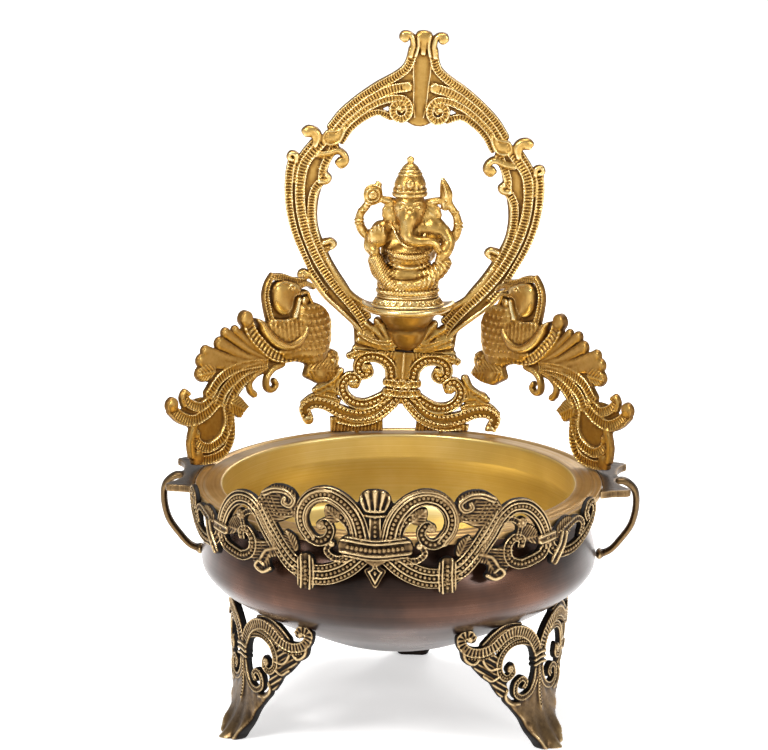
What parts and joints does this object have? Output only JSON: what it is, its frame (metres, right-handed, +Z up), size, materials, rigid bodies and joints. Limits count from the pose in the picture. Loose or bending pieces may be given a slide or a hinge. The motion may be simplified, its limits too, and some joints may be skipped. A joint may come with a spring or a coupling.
{
  "type": "brass urli bowl",
  "caption": "Footed brass urli bowl with side handles, an openwork front frieze and a back panel carrying an arch, a seated elephant-headed figure and peacocks.",
  "frame": {"origin": "on the ground under the axis of the bowl, where the toes stand", "axes": "+Z up; the frieze side faces -Y and the back panel is on the +Y side; +X to the right seen from the front"},
  "size_m": [0.33, 0.2827, 0.4541],
  "materials": {
    "bowl_bronze": "dark oxidised belly, polished gold inside",
    "handle_bronze": "lacquered brown antique",
    "antique_bronze": "antique casting with rubbed high spots",
    "gold_brass": "antique gold casting",
    "screw_brass": "plain turned brass"
  },
  "bodies": {
    "root": {"bowl": "bowl_bronze", "leg_front_left": "antique_bronze", "leg_back": "antique_bronze", "leg_front_right": "antique_bronze", "front_frieze": "antique_bronze", "handle_left": "handle_bronze", "handle_right": "handle_bronze", "back_panel": "gold_brass", "arch_frame": "gold_brass", "panel_screw_left": "screw_brass", "panel_screw_right": "screw_brass", "shelf": "gold_brass", "shelf_bracket": "gold_brass", "lotus_pedestal": "gold_brass", "seated_figure": "gold_brass", "peacock_left": "gold_brass", "peacock_right": "gold_brass"}
  },
  "joints": []
}
